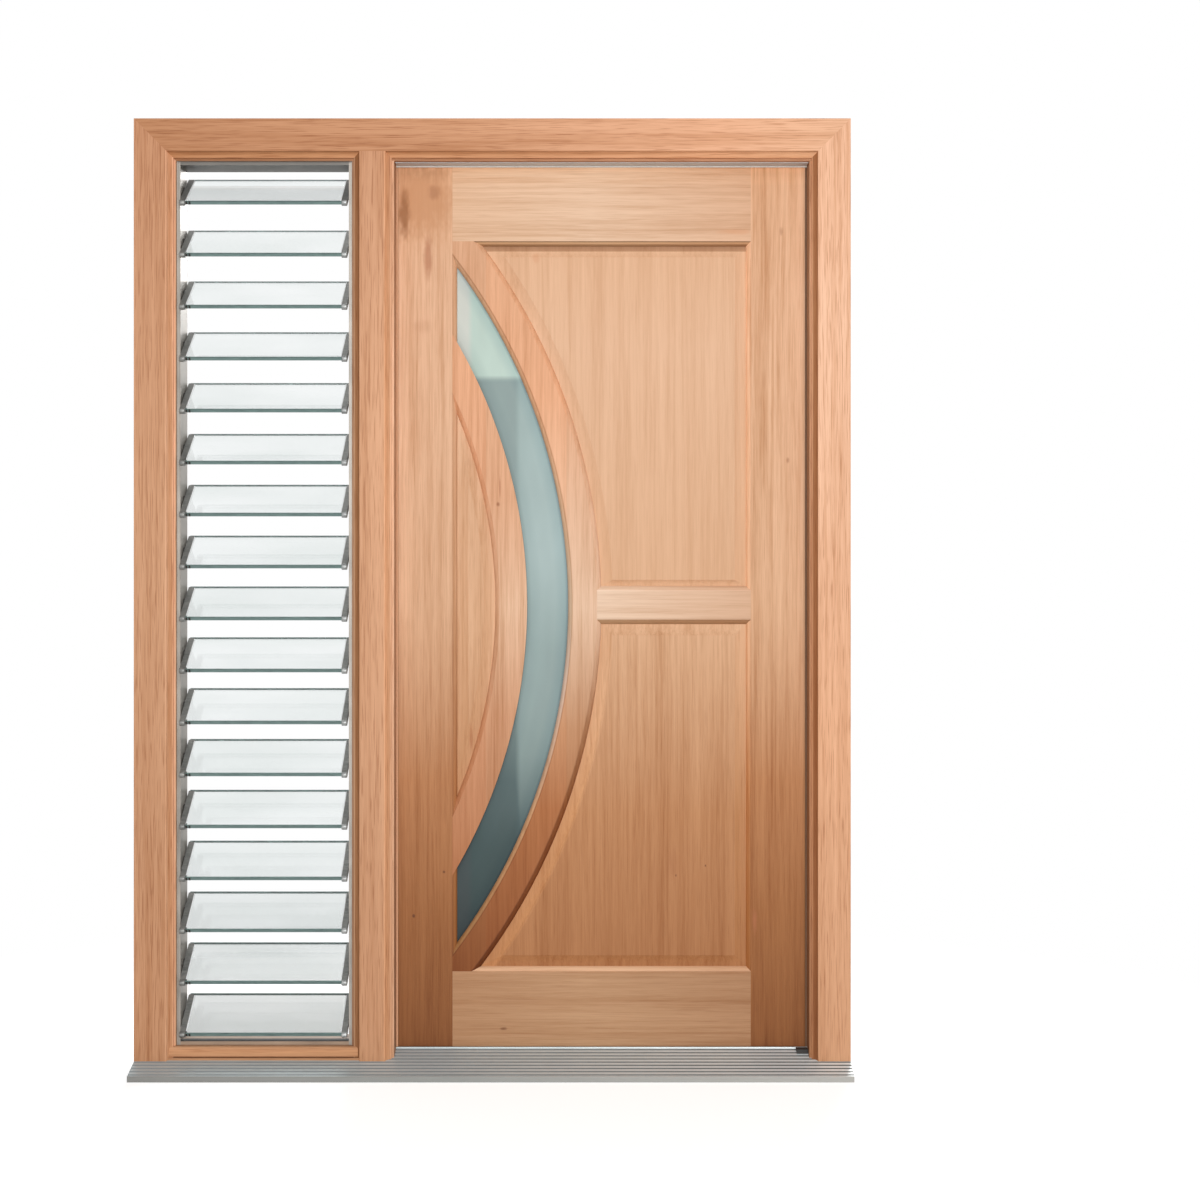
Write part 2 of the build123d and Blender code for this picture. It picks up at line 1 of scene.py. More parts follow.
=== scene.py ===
import bmesh
import bpy
import math
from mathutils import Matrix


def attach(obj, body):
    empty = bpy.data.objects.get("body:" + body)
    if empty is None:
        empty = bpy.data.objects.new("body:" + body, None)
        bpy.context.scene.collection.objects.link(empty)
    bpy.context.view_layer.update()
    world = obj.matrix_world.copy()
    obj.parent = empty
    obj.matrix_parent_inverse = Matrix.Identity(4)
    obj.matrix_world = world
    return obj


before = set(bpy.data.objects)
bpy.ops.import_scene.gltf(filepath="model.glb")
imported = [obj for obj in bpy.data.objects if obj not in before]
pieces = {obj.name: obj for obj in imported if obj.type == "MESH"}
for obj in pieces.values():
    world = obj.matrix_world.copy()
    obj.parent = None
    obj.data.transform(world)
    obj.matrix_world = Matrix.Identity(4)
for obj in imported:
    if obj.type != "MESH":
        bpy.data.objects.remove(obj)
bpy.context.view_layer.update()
scene = bpy.context.scene
scene.view_settings.view_transform = "Standard"
bpy.ops.object.select_all(action="DESELECT")
print("door set loaded,", len(pieces), "pieces")

# Camera, square on to the face as in the photograph
viewpoint = {
    "place": (0.2374, -4.535, 1.0476),
    "lens": 61.74,
    "sensor": 36,
}
bpy.ops.object.camera_add(location=viewpoint["place"], rotation=(math.pi / 2, 0, 0))
viewer = bpy.context.active_object
viewer.name = "squareOnCamera"
viewer.data.lens = viewpoint["lens"]
viewer.data.sensor_width = viewpoint["sensor"]
scene.camera = viewer
print("camera set")


# Small helpers for the finishes
def screenColour(tone):  # 0 to 255 on screen, to linear
    channels = []
    for value in tone:
        part = value / 255
        channels.append(part / 12.92 if part < 0.04045 else ((part + 0.055) / 1.055) ** 2.4)
    return (*channels, 1.0)


def startFinish(name):
    finish = bpy.data.materials.new(name)
    finish.use_nodes = True
    return finish, finish.node_tree, finish.node_tree.nodes["Principled BSDF"]


def addNode(tree, kind, inputs=None, **settings):
    made = tree.nodes.new(kind)
    for key, value in settings.items():
        setattr(made, key, value)
    for key, value in (inputs or {}).items():
        if isinstance(value, bpy.types.NodeSocket):
            tree.links.new(value, made.inputs[key])
        else:
            made.inputs[key].default_value = value
    return made


def calc(tree, operation, first, second=0.0, third=0.0):
    return addNode(tree, "ShaderNodeMath", {0: first, 1: second, 2: third}, operation=operation).outputs[0]


def vectorCalc(tree, operation, first, second=(0, 0, 0)):
    made = addNode(tree, "ShaderNodeVectorMath", {0: first, 1: second}, operation=operation)
    return made.outputs["Value" if operation in ("LENGTH", "DOT_PRODUCT") else "Vector"]


def spread(tree, value, low, high, newLow=0.0, newHigh=1.0, ease="LINEAR"):
    inputs = {"Value": value, "From Min": low, "From Max": high, "To Min": newLow, "To Max": newHigh}
    return addNode(tree, "ShaderNodeMapRange", inputs, interpolation_type=ease).outputs[0]


def colourRun(tree, factor, stops, ease="LINEAR"):  # stops are (position 0-1, linear colour)
    made = addNode(tree, "ShaderNodeValToRGB", {0: factor})
    made.color_ramp.interpolation = ease
    points = made.color_ramp.elements
    while len(points) < len(stops):
        points.new(1.0)
    for point, (position, colour) in zip(points, stops):
        point.position = position
        point.color = colour
    return made.outputs["Color"]


def grey(value):
    return (value, value, value, 1.0)


def opaque(tint):
    return (*tint, 1.0)


def toneRun(tree, value, stops, paint=screenColour):  # colours at places along an axis
    low, high = stops[0][0], stops[-1][0]
    where = spread(tree, value, low, high)
    return colourRun(tree, where, [((at - low) / (high - low), paint(tone)) for at, tone in stops])


def blendColour(tree, factor, first, second, way="MIX"):
    inputs = {0: factor, 6: first, 7: second}
    return addNode(tree, "ShaderNodeMix", inputs, data_type="RGBA", blend_type=way).outputs[2]


def cloud(tree, place, stretch, detail=2.0, roughness=0.5):  # noise with its own count per metre on each axis
    inputs = {"Vector": vectorCalc(tree, "MULTIPLY", place, stretch), "Scale": 1.0}
    made = addNode(tree, "ShaderNodeTexNoise", {**inputs, "Detail": detail, "Roughness": roughness})
    return made.outputs[0]


def tinted(tree, colour, stain, share=1.0):
    return blendColour(tree, share, colour, stain, "MULTIPLY")


def roughen(tree, shader, height, strength, distance):
    bump = addNode(tree, "ShaderNodeBump", {"Height": height, "Strength": strength, "Distance": distance})
    tree.links.new(bump.outputs[0], shader.inputs["Normal"])


def seenRays(tree):  # 1 for what the camera sees, straight, mirrored or through glass
    rays = addNode(tree, "ShaderNodeLightPath").outputs
    seen = calc(tree, "MAXIMUM", rays["Is Camera Ray"], rays["Is Glossy Ray"])
    return calc(tree, "MAXIMUM", seen, rays["Is Transmission Ray"])


def dress(name, finish):
    slots = pieces[name].data.materials
    slots.clear()
    slots.append(finish)


archCentre = (-1.109, 0, 1.0365)  # both arches of the leaf are struck from here


def archRadius(tree, place):
    reach = vectorCalc(tree, "MULTIPLY", vectorCalc(tree, "SUBTRACT", place, archCentre), (1, 0, 1))
    return vectorCalc(tree, "LENGTH", reach)


# Timber: each member has its own cut, tone along its length, painted light and shade on its mouldings, and marks
grainLook = {
    "drift": (5.0, 1.1),  # noise counts per metre, across and along the grain
    "bands": (34, 0.8),
    "streaks": (150, 3.2),
    "fibres": (900, 20),
    "pores": (560, 14),
    "ragged": (110, 45),  # edges of the marks
    "shares": (0.36, 0.46, 0.18),  # bands, streaks and fibres in the figure
    "figure": ((0.34, (-0.30, -0.43, -0.56)), (0.45, (-0.11, -0.16, -0.21)), (0.53, (0, 0, 0)),
               (0.66, (0.12, 0.15, 0.18))),
    "poreRange": (0.33, 0.45),
    "poreTint": (0.74, 0.65, 0.58),
    "poreShift": (3, 1, 2),
    "boardShift": (3.1, 5.3, 2.7),
    "lastBoard": 0.1,
    "markEdge": (0.25, 1.05),
    "markRagged": 0.6,
    "gloss": (0.60, 0.48),
    "specular": 0.22,
    "relief": (0.5, 0.4, -0.25),  # fibres, streaks and pores
    "bump": (0.35, 0.0004),
}


def timberFinish(name, look, grain):
    finish, tree, shader = startFinish(name)
    place = addNode(tree, "ShaderNodeTexCoord").outputs["Object"]
    split = addNode(tree, "ShaderNodeSeparateXYZ", {0: place}).outputs
    axes = {"X": split["X"], "Z": split["Z"], "arc": archRadius(tree, place)}

    def run(across, along):
        return (across, across, along) if look["grain"] == "upright" else (along, across, across)

    log = vectorCalc(tree, "ADD", place, look["cut"])
    if "boards" in look:  # glued up boards, each from another part of the log
        first, last = look["boards"][0][0], look["boards"][-1][0] + grain["lastBoard"]
        where = spread(tree, axes["X"], first, last)
        steps = [((x - first) / (last - first), opaque(tint)) for x, tint, shift in look["boards"]]
        shifts = [((x - first) / (last - first), grey(shift)) for x, tint, shift in look["boards"]]
        boardTint = colourRun(tree, where, steps, "CONSTANT")
        boardShift = colourRun(tree, where, shifts, "CONSTANT")
        log = vectorCalc(tree, "ADD", log, vectorCalc(tree, "MULTIPLY", boardShift, grain["boardShift"]))

    stretched = vectorCalc(tree, "MULTIPLY", log, run(*grain["drift"]))
    wander = addNode(tree, "ShaderNodeTexNoise", {"Vector": stretched, "Scale": 1.0, "Detail": 1.0})
    drift = vectorCalc(tree, "SUBTRACT", wander.outputs[1], (0.5, 0.5, 0.5))
    log = vectorCalc(tree, "ADD", log, vectorCalc(tree, "MULTIPLY", drift, run(look["wander"], 0.0)))

    bands = cloud(tree, log, run(*grain["bands"]), 2.0)
    streaks = cloud(tree, log, run(*grain["streaks"]), 3.0, 0.65)
    fibres = cloud(tree, log, run(*grain["fibres"]), 2.0, 0.6)
    pores = cloud(tree, vectorCalc(tree, "ADD", log, grain["poreShift"]), run(*grain["pores"]), 1.0)
    bandShare, streakShare, fibreShare = grain["shares"]
    figure = calc(tree, "MULTIPLY_ADD", bands, bandShare, calc(tree, "MULTIPLY", streaks, streakShare))
    figure = calc(tree, "MULTIPLY_ADD", fibres, fibreShare, figure)

    colour = toneRun(tree, axes[look["toneAxis"]], look["tone"])
    grainRun = [(at, opaque([1 + look["figure"] * change for change in changes])) for at, changes in grain["figure"]]
    colour = tinted(tree, colour, colourRun(tree, figure, grainRun))
    if "boards" in look:
        colour = tinted(tree, colour, boardTint)
    lowPore, highPore = grain["poreRange"]
    poreRun = [(lowPore, opaque(grain["poreTint"])), (highPore, grey(1.0))]
    colour = tinted(tree, colour, colourRun(tree, pores, poreRun), look["pores"])
    for axis, paintedTints, *fade in look.get("mouldings", ()):  # painted shade in the quirks, painted highlights on the arrises
        share = spread(tree, axes["Z"], *fade[0], 1.0, 0.0) if fade else 1.0  # full below the first height
        colour = tinted(tree, colour, toneRun(tree, axes[axis], paintedTints, opaque), share)
    ragged = cloud(tree, log, run(*grain["ragged"]), 1.0)
    for x, z, wide, tall, strength, tint in look.get("marks", ()):  # knots and mineral streaks
        reach = vectorCalc(tree, "SUBTRACT", place, (x, 0, z))
        reach = vectorCalc(tree, "LENGTH", vectorCalc(tree, "MULTIPLY", reach, (1 / wide, 0, 1 / tall)))
        reach = calc(tree, "SUBTRACT", reach, grain["markRagged"] / 2)
        reach = calc(tree, "MULTIPLY_ADD", ragged, grain["markRagged"], reach)
        mask = spread(tree, reach, *grain["markEdge"], strength, 0.0, "SMOOTHSTEP")
        colour = blendColour(tree, mask, colour, screenColour(tint))
    tree.links.new(colour, shader.inputs["Base Color"])

    tree.links.new(spread(tree, figure, 0.3, 0.7, *grain["gloss"]), shader.inputs["Roughness"])
    shader.inputs["Specular IOR Level"].default_value = grain["specular"]
    fibreRelief, streakRelief, poreRelief = grain["relief"]
    height = calc(tree, "MULTIPLY_ADD", fibres, fibreRelief, calc(tree, "MULTIPLY", streaks, streakRelief))
    height = calc(tree, "ADD", height, spread(tree, pores, lowPore, highPore, poreRelief, 0.0))
    roughen(tree, shader, height, *grain["bump"])
    return finish


# Leaf tones down its height, paler at the head and browner at the foot: the timber's colour, with painted shade
# darkening it towards the foot
stileTone = [(0.046, (132, 79, 38)), (0.35, (158, 102, 58)), (0.647, (184, 126, 82)), (1.036, (221, 174, 137)),
             (1.72, (230, 182, 146)), (2.027, (226, 176, 138))]
panelTone = [(0.20, (169, 113, 70)), (0.57, (190, 134, 90)), (0.98, (222, 174, 135)), (1.62, (231, 185, 149)),
             (1.86, (228, 180, 142))]
archTone = [(0.216, (132, 73, 29)), (0.58, (172, 110, 65)), (0.76, (197, 143, 103)), (1.03, (236, 196, 164)),
            (1.50, (232, 175, 136)), (1.85, (227, 174, 136))]
innerArchTone = [(0.45, (178, 119, 79)), (0.79, (210, 154, 116)), (1.03, (236, 192, 158)), (1.28, (228, 173, 135)),
                 (1.63, (232, 176, 137))]

# Painted light and shade across each moulding: painted shade in the quirks, painted highlights on the arrises
plain = (1.0, 1.0, 1.0)
leftJambPaintedLightAndShade = [(-0.7225, plain), (-0.7182, (1.36, 1.47, 1.60)), (-0.7125, (1.05, 1.0, 0.95)),
                 (-0.7078, (1.08, 1.07, 1.05)), (-0.7055, (1.45, 1.58, 1.77)), (-0.7003, (1.12, 1.27, 1.42)),
                 (-0.6999, (0.70, 0.72, 0.75))]
mullionLeftPaintedShade = [(-0.3111, (0.50, 0.50, 0.50)), (-0.3045, (0.80, 0.86, 0.88)), (-0.3030, (0.55, 0.48, 0.38)),
                    (-0.2945, (0.52, 0.44, 0.33)), (-0.2925, plain)]
mullionRightPaintedLightAndShade = [(-0.2405, plain), (-0.2358, (1.33, 1.32, 1.28)), (-0.2325, (1.04, 1.0, 0.95)),
                     (-0.2265, (0.95, 0.93, 0.90)), (-0.2245, (1.15, 1.20, 1.25)), (-0.2182, (1.20, 1.45, 1.70)),
                     (-0.2178, (0.60, 0.55, 0.50))]
rightJambPaintedShade = [(0.6999, (0.42, 0.37, 0.30)), (0.7048, (0.74, 0.64, 0.52)), (0.7090, (0.42, 0.29, 0.18)),
                  (0.7160, (0.40, 0.28, 0.18)), (0.7178, (0.50, 0.40, 0.30)), (0.7182, (0.92, 0.88, 0.84)),
                  (0.7230, plain)]
headPaintedShade = [(2.0188, (0.74, 0.74, 0.73)), (2.0236, (0.75, 0.70, 0.62)), (2.0243, (1.02, 1.0, 0.93)),
             (2.0345, (0.97, 0.93, 0.85)), (2.0368, (0.85, 0.80, 0.72)), (2.0400, plain)]
footRailPaintedShade = [(0.0368, (0.80, 0.85, 0.90)), (0.0371, (0.50, 0.45, 0.42)), (0.0399, (0.50, 0.45, 0.42)),
                 (0.0402, (0.86, 0.86, 0.85)), (0.0530, plain), (0.0620, (0.85, 0.88, 0.92))]
hingeStilePaintedLight = [(0.5650, (1.45, 1.45, 1.45)), (0.5748, (1.12, 1.12, 1.12)), (0.5752, (1.05, 1.05, 1.04))]
topRailPaintedShade = [(1.8410, (0.46, 0.36, 0.26)), (1.8436, (0.48, 0.38, 0.28)), (1.8480, (0.88, 0.77, 0.62)),
                (1.8494, (0.48, 0.40, 0.30)), (1.8509, (0.44, 0.36, 0.27)), (1.8512, plain)]
midRailPaintedLightAndShade = [(1.0033, (0.56, 0.45, 0.33)), (1.0036, (0.82, 0.78, 0.73)), (1.0085, plain), (1.0650, plain),
                (1.0694, (1.13, 1.18, 1.24)), (1.0697, (0.98, 0.96, 0.94))]
bottomRailPaintedHighlight = [(0.2100, plain), (0.2155, (1.08, 1.08, 1.10)), (0.2162, (1.57, 1.71, 1.95))]
lockStilePaintedShade = [(-0.0945, plain), (-0.0917, (0.80, 0.74, 0.68)), (-0.0895, (1.0, 0.98, 0.96)),
                  (-0.0855, (1.02, 1.0, 0.98)), (-0.0830, (0.72, 0.66, 0.60))]
beadPaintedShade = [(1.2745, (0.70, 0.68, 0.66)), (1.2758, (0.84, 0.90, 0.90)), (1.2826, (0.84, 0.90, 0.90)),
             (1.2838, (0.66, 0.58, 0.50)), (1.2866, plain)]
# painted highlight on the lower panel's arched bevel
lowerPanelPaintedHighlight = [(1.3490, plain), (1.3520, (1.18, 1.22, 1.26)), (1.3720, (1.30, 1.37, 1.45)), (1.3790, plain)]
# painted shadow on the upper panel under the top rail's sticking
upperPanelPaintedShadow = [(1.8288, plain), (1.8305, (0.64, 0.56, 0.49)), (1.8400, (0.50, 0.42, 0.35))]
# painted light at the leaf's top, against the shadow the head casts there
leafTopPaintedLight = [(1.9750, plain), (2.0000, (1.15, 1.14, 1.12)), (2.0150, (1.36, 1.34, 1.30))]
# painted highlight line at the glass edge, painted shade along the arch's lower edge
outerArchPaintedLightAndShade = [(1.2838, (1.75, 2.5, 4.0)), (1.2842, plain), (1.3370, plain), (1.3402, (0.58, 0.50, 0.43)),
                  (1.3500, (0.52, 0.44, 0.37))]
innerArchPaintedShade = [(1.1213, (0.95, 0.91, 0.88)), (1.1217, plain)]
redStain = (172, 106, 70)
darkKnot = (96, 54, 32)
softKnot = (150, 92, 58)

# Tones along the members: the timber's colour, with painted shade towards the foot and painted light making the
# right jamb and the head's right end paler
timberLooks = {
    "left_jamb": {
        "grain": "upright", "cut": (0.31, 0.12, 0.4), "wander": 0.010, "figure": 0.8, "pores": 0.95,
        "toneAxis": "Z", "tone": [(0.0, (191, 139, 102)), (1.1, (211, 158, 120)), (2.107, (204, 147, 109))],
        "mouldings": [("X", leftJambPaintedLightAndShade)]},
    "right_jamb": {
        "grain": "upright", "cut": (1.7, 0.42, 1.9), "wander": 0.010, "figure": 0.8, "pores": 0.9,
        "toneAxis": "Z", "tone": [(0.0, (204, 151, 113)), (0.75, (233, 176, 136)), (1.66, (254, 203, 168)),
                                  (2.107, (246, 191, 154))],
        "mouldings": [("X", rightJambPaintedShade)]},
    "mullion": {
        "grain": "upright", "cut": (2.9, 1.1, 0.7), "wander": 0.009, "figure": 0.8, "pores": 0.95,
        "toneAxis": "Z", "tone": [(0.0, (194, 142, 105)), (1.40, (222, 167, 128)), (2.035, (211, 155, 117))],
        "mouldings": [("X", mullionLeftPaintedShade), ("X", mullionRightPaintedLightAndShade)]},
    "head": {
        "grain": "level", "cut": (0.6, 2.3, 3.3), "wander": 0.008, "figure": 0.8, "pores": 0.95,
        "toneAxis": "X", "tone": [(-0.79, (194, 137, 97)), (-0.1, (210, 152, 112)), (0.5, (237, 178, 139)),
                                  (0.79, (241, 187, 149))],
        "mouldings": [("Z", headPaintedShade)]},
    "sidelight_sill": {
        "grain": "level", "cut": (4.1, 0.3, 1.3), "wander": 0.006, "figure": 0.7, "pores": 0.6,
        "toneAxis": "X", "tone": [(-0.72, (208, 152, 110)), (-0.29, (202, 146, 104))],
        "mouldings": [("Z", footRailPaintedShade)]},
    "lock_stile": {
        "grain": "upright", "cut": (5.2, 0.9, 2.1), "wander": 0.018, "figure": 1.0, "pores": 0.3,
        "toneAxis": "Z", "tone": stileTone,
        "mouldings": [("X", lockStilePaintedShade), ("Z", leafTopPaintedLight)],
        "marks": [(-0.160, 1.945, 0.110, 0.125, 0.85, (203, 145, 102)),
                  (-0.2010, 1.914, 0.016, 0.072, 0.75, (146, 92, 50)), (-0.148, 1.815, 0.014, 0.062, 0.62, redStain),
                  (-0.134, 1.961, 0.018, 0.022, 0.40, softKnot), (-0.112, 0.4385, 0.0042, 0.0045, 0.85, darkKnot),
                  (-0.180, 0.340, 0.0045, 0.006, 0.85, darkKnot), (-0.16, 1.66, 0.03, 0.02, 0.16, redStain)]},
    "hinge_stile": {
        "grain": "upright", "cut": (6.4, 1.9, 0.2), "wander": 0.016, "figure": 1.0, "pores": 0.3,
        "toneAxis": "Z", "tone": stileTone,
        "mouldings": [("X", hingeStilePaintedLight), ("Z", leafTopPaintedLight)],
        "marks": [(0.584, 0.329, 0.007, 0.035, 0.6, redStain), (0.658, 1.361, 0.005, 0.009, 0.5, softKnot),
                  (0.643, 1.873, 0.006, 0.012, 0.35, softKnot)]},
    "top_rail": {
        "grain": "level", "cut": (7.7, 0.5, 2.8), "wander": 0.020, "figure": 0.72, "pores": 0.25,
        "toneAxis": "X", "tone": [(-0.093, (227, 185, 150)), (0.22, (233, 195, 163)), (0.575, (222, 176, 141))],
        "mouldings": [("Z", topRailPaintedShade), ("Z", leafTopPaintedLight)],
        "marks": [(0.54, 1.872, 0.05, 0.008, 0.45, (222, 160, 118))]},
    "mid_rail": {
        "grain": "level", "cut": (8.3, 1.4, 0.9), "wander": 0.010, "figure": 0.55, "pores": 0.15,
        "toneAxis": "X", "tone": [(0.23, (239, 206, 178)), (0.42, (228, 189, 158)), (0.575, (219, 176, 143))],
        "mouldings": [("Z", midRailPaintedLightAndShade)]},
    "bottom_rail": {
        "grain": "level", "cut": (9.6, 0.2, 3.9), "wander": 0.016, "figure": 0.75, "pores": 0.3,
        "toneAxis": "X", "tone": [(-0.093, (180, 135, 98)), (0.20, (189, 146, 109)), (0.575, (174, 129, 93))],
        "mouldings": [("Z", bottomRailPaintedHighlight)],
        "marks": [(0.0213, 0.0878, 0.011, 0.0045, 0.75, (118, 74, 48))]},
    "outer_arch_rail": {
        "grain": "upright", "cut": (1.2, 3.3, 4.6), "wander": 0.014, "figure": 0.7, "pores": 0.25,
        "toneAxis": "Z", "tone": archTone,
        "mouldings": [("arc", outerArchPaintedLightAndShade, (0.55, 1.0)), ("arc", beadPaintedShade)],
        "boards": [(-0.11, (0.97, 0.97, 0.97), 0.1), (-0.018, (1.03, 0.99, 0.96), 0.5),
                   (0.161, (0.98, 0.99, 1.0), 0.8), (0.2128, (1.03, 1.05, 1.08), 0.3)]},
    "inner_arch_rail": {
        "grain": "upright", "cut": (2.2, 4.4, 1.6), "wander": 0.016, "figure": 0.8, "pores": 0.25,
        "toneAxis": "Z", "tone": innerArchTone,
        "mouldings": [("arc", innerArchPaintedShade)],
        "boards": [(-0.11, (1.02, 0.97, 0.94), 0.2), (-0.018, (1.0, 1.01, 1.02), 0.7)],
        "marks": [(0.009, 1.262, 0.005, 0.007, 0.75, softKnot), (0.013, 1.30, 0.0025, 0.035, 0.5, redStain)]},
    "upper_panel": {
        "grain": "upright", "cut": (3.4, 5.1, 2.4), "wander": 0.014, "figure": 0.42, "pores": 0.15,
        "toneAxis": "Z", "tone": panelTone,
        "mouldings": [("Z", upperPanelPaintedShadow)],
        "marks": [(0.094, 1.815, 0.012, 0.016, 0.35, (214, 146, 104))]},
    "lower_panel": {
        "grain": "upright", "cut": (4.5, 6.2, 0.8), "wander": 0.014, "figure": 0.75, "pores": 0.3,
        "toneAxis": "Z", "tone": panelTone,
        "mouldings": [("arc", lowerPanelPaintedHighlight, (0.72, 1.0))],
        "marks": [(0.4076, 0.430, 0.0025, 0.004, 0.7, darkKnot), (0.474, 0.452, 0.002, 0.003, 0.7, darkKnot),
                  (0.402, 0.455, 0.016, 0.045, 0.25, (160, 100, 64))]},
    "arch_panel": {
        "grain": "upright", "cut": (5.6, 7.3, 3.2), "wander": 0.016, "figure": 0.7, "pores": 0.35,
        "toneAxis": "Z", "tone": panelTone,
        "marks": [(-0.0515, 0.735, 0.005, 0.04, 0.55, (166, 100, 62))]},
    "glazing_beads": {
        "grain": "upright", "cut": (6.7, 8.4, 4.2), "wander": 0.012, "figure": 0.6, "pores": 0.4,
        "toneAxis": "Z", "tone": archTone},
}
for pieceName, look in timberLooks.items():
    dress(pieceName, timberFinish(pieceName + "_timber", look, grainLook))
print("timber dressed,", len(timberLooks), "members")

# Crescent light: sea-green satin glass, with painted reflection and shade: pale at the head, dark at the foot, one
# half brighter
crescentLook = {
    "radii": (1.183, 1.275),
    "tone": [(0.24, (44, 56, 56)), (0.64, (76, 95, 95)), (0.82, (126, 144, 141)), (1.15, (150, 167, 165)),
             (1.54, (140, 158, 155)), (1.552, (190, 210, 199))],
    "split": 0.053,  # upright edge between the dim and the bright half
    "lift": (0.12, 0.95),  # the dark foot ends lower in the bright half
    "gain": [(0.55, 1.0), (1.1, 1.28)],  # of the bright half, from its foot up
    "strip": -0.054,  # greyer strip along the stile
    "stripTint": (1.20, 0.99, 1.01),
    "soft": 0.008,
    # painted shade towards both edges of the glass
    "paintedEdgeShade": [(0.0, (0.62, 0.68, 0.70)), (0.10, (0.86, 0.89, 0.90)), (0.35, (1.0, 1.0, 1.0)), (0.68, (1.0, 1.0, 1.0)),
            (0.93, (0.80, 0.86, 0.89)), (1.0, (0.42, 0.48, 0.52))],
    "frost": (900, 900, 900),
    "mist": (14, 14, 5),
    "mistRun": [(0.3, grey(0.93)), (0.7, grey(1.05))],
    "rough": (0.28, 0.42),
    "bump": (0.12, 0.0002),
    "settings": {"IOR": 1.5, "Specular IOR Level": 0.1, "Coat Weight": 0.05, "Coat Roughness": 0.08},
}


def crescentFinish(look):
    finish, tree, shader = startFinish("crescent_satin_glass")
    place = addNode(tree, "ShaderNodeTexCoord").outputs["Object"]
    axes = addNode(tree, "ShaderNodeSeparateXYZ", {0: place}).outputs
    soft = look["soft"]
    bright = spread(tree, axes["X"], look["split"] - soft, look["split"] + soft, ease="SMOOTHSTEP")
    lift, liftTop = look["lift"]
    lifted = calc(tree, "MINIMUM", calc(tree, "MULTIPLY_ADD", bright, lift, axes["Z"]), liftTop)
    colour = toneRun(tree, calc(tree, "MAXIMUM", axes["Z"], lifted), look["tone"])
    colour = tinted(tree, colour, toneRun(tree, axes["Z"], look["gain"], grey), bright)
    strip = spread(tree, axes["X"], look["strip"] - soft, look["strip"] + soft, 1.0, 0.0, "SMOOTHSTEP")
    colour = tinted(tree, colour, opaque(look["stripTint"]), strip)
    across = spread(tree, archRadius(tree, place), *look["radii"])
    colour = tinted(tree, colour, toneRun(tree, across, look["paintedEdgeShade"], opaque))
    frost = cloud(tree, place, look["frost"], 2.0)
    mist = cloud(tree, place, look["mist"], 2.0)
    colour = tinted(tree, colour, colourRun(tree, mist, look["mistRun"]))
    tree.links.new(colour, shader.inputs["Base Color"])
    tree.links.new(spread(tree, frost, 0.3, 0.7, *look["rough"]), shader.inputs["Roughness"])
    roughen(tree, shader, frost, *look["bump"])
    for socket, value in look["settings"].items():
        shader.inputs[socket].default_value = value
    return finish


dress("crescent_glass", crescentFinish(crescentLook))

# Louvre blades: clear float glass with ground edges
bladeRow = {
    "count": 17,
    "first": 1.959,  # height of the first pivot
    "pitch": 0.1148125,
    "depth": 0.062,  # pivots behind the frame's face
    "reach": 0.063,  # pivot to front edge
    "tilt": math.radians(33),
    "half": 0.0040,  # half of the glass's thickness
}
bladeLook = {
    "face": [(0.30, (230, 235, 234)), (0.70, (243, 246, 246))],
    "veil": (3, 9, 7.5),
    "edge": [(0.30, (62, 92, 90)), (0.70, (112, 140, 136))],
    "ground": (60, 400, 400),
    # darker towards the bottom
    "heightDarkening": [(0.06, 0.60), (0.20, 0.74), (0.34, 0.90), (0.50, 1.0)],  # share of light let through, by height
    "edgeFacing": (0.45, 0.6),
    "rough": (0.02, 0.32),
    "settings": {"Transmission Weight": 1.0, "IOR": 1.5},
}


def bladeFinish(look, row):
    finish, tree, shader = startFinish("louvre_float_glass")
    source = addNode(tree, "ShaderNodeTexCoord")
    place = source.outputs["Object"]
    ridge = (0, -math.cos(row["tilt"]), -math.sin(row["tilt"]))
    facing = calc(tree, "ABSOLUTE", vectorCalc(tree, "DOT_PRODUCT", source.outputs["Normal"], ridge))
    edge = spread(tree, facing, *look["edgeFacing"])
    veil = cloud(tree, place, look["veil"], 2.0)
    face = colourRun(tree, veil, [(at, screenColour(tint)) for at, tint in look["face"]])
    height = addNode(tree, "ShaderNodeSeparateXYZ", {0: place}).outputs["Z"]
    face = tinted(tree, face, toneRun(tree, height, look["heightDarkening"], grey))
    ground = cloud(tree, place, look["ground"], 2.0)
    edgeTone = colourRun(tree, ground, [(at, screenColour(tint)) for at, tint in look["edge"]])
    tree.links.new(blendColour(tree, edge, face, edgeTone), shader.inputs["Base Color"])
    tree.links.new(spread(tree, edge, 0, 1, *look["rough"]), shader.inputs["Roughness"])
    for socket, value in look["settings"].items():
        shader.inputs[socket].default_value = value
    return finish


glassFinish = bladeFinish(bladeLook, bladeRow)
for number in range(1, bladeRow["count"] + 1):
    dress(f"louvre_blade_{number:02d}", glassFinish)
print("glass dressed")

# Ground edges of the blades: opaque sea green, with thin lines of painted highlight and shade along their arrises
groundLook = {
    "dark": (66, 86, 86),
    "light": (134, 160, 155),
    # painted highlight and shade lines across the edge
    "paintedArrisLines": [(0.455, 0.9), (0.468, 0.15), (0.482, 0.75), (0.50, 0.95), (0.516, 0.25), (0.53, 0.1), (0.541, 1.0)],
    "rows": 40,  # counted up and down from the first blade
    "chips": (38, 300, 300),
    "chipShare": (0.6, 1.25),
    "rough": (0.25, 0.5),
}


